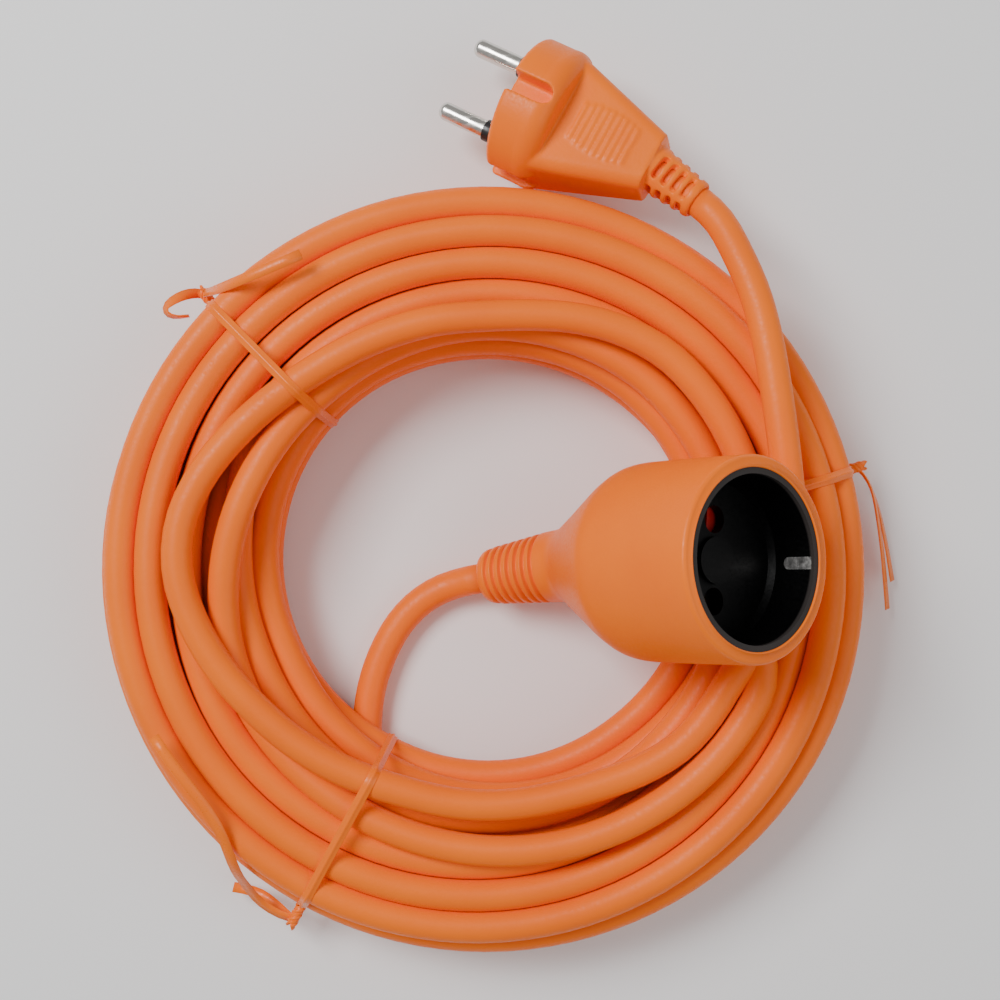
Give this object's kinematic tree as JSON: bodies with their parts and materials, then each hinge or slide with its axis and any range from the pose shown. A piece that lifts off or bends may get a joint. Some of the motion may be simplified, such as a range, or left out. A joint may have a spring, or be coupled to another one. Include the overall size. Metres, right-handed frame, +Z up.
{
  "type": "extension cord",
  "caption": "Orange coiled extension cord with a round-pin plug, a shuttered round socket and twist ties, lying on a floor.",
  "frame": {"origin": "on the floor, under the middle of the bounding box", "axes": "+Z up from the floor, +Y from the coil towards the plug (longest), +X towards the side that the socket's mouth faces"},
  "size_m": [0.2082, 0.2374, 0.0861],
  "materials": {
    "orange_plastic": "satin moulded",
    "orange_sheath": "satin extruded",
    "black_plastic": "matte",
    "dark_plastic": "satin",
    "red_plastic": "gloss",
    "plated_pin": "satin nickel plating",
    "nickel_strip": "satin nickel plating",
    "contact_brass": "satin",
    "spring_steel": "drawn",
    "core_brown": "satin",
    "core_blue": "satin",
    "tie_plastic": "semi-gloss"
  },
  "bodies": {
    "cord_set": {"plug_body": "orange_plastic", "socket_jacket": "orange_plastic", "plug_sheath_end": "orange_sheath", "socket_sheath_end": "orange_sheath", "plug_cord": "orange_sheath", "socket_cord": "orange_sheath", "cord_coil": "orange_sheath", "plug_bridge": "black_plastic", "socket_insert": "dark_plastic", "contact_carrier": "dark_plastic", "carrier_cover": "dark_plastic", "plug_pin_left": "plated_pin", "plug_pin_right": "plated_pin", "side_clip_lower": "nickel_strip", "side_clip_upper": "nickel_strip", "socket_contact_left": "contact_brass", "socket_contact_right": "contact_brass", "shutter_spring": "spring_steel", "shutter_pivot": "spring_steel", "plug_core_brown": "core_brown", "socket_core_brown": "core_brown", "plug_core_blue": "core_blue", "socket_core_blue": "core_blue", "tie_upper_left": "tie_plastic", "tie_lower_left": "tie_plastic", "tie_right": "tie_plastic"},
    "pin_shutter": {"shutter": "red_plastic"}
  },
  "joints": [
    {"name": "shutter_turn", "type": "hinge", "parent": "cord_set", "child": "pin_shutter", "pos_m": [0.04677, -0.01549, 0.05896], "axis": [-0.622, -0.0479, -0.7815], "range_deg": [0, 18], "stiffness_Nm_per_rad": 0.002, "springref_deg": -20.05}
  ]
}
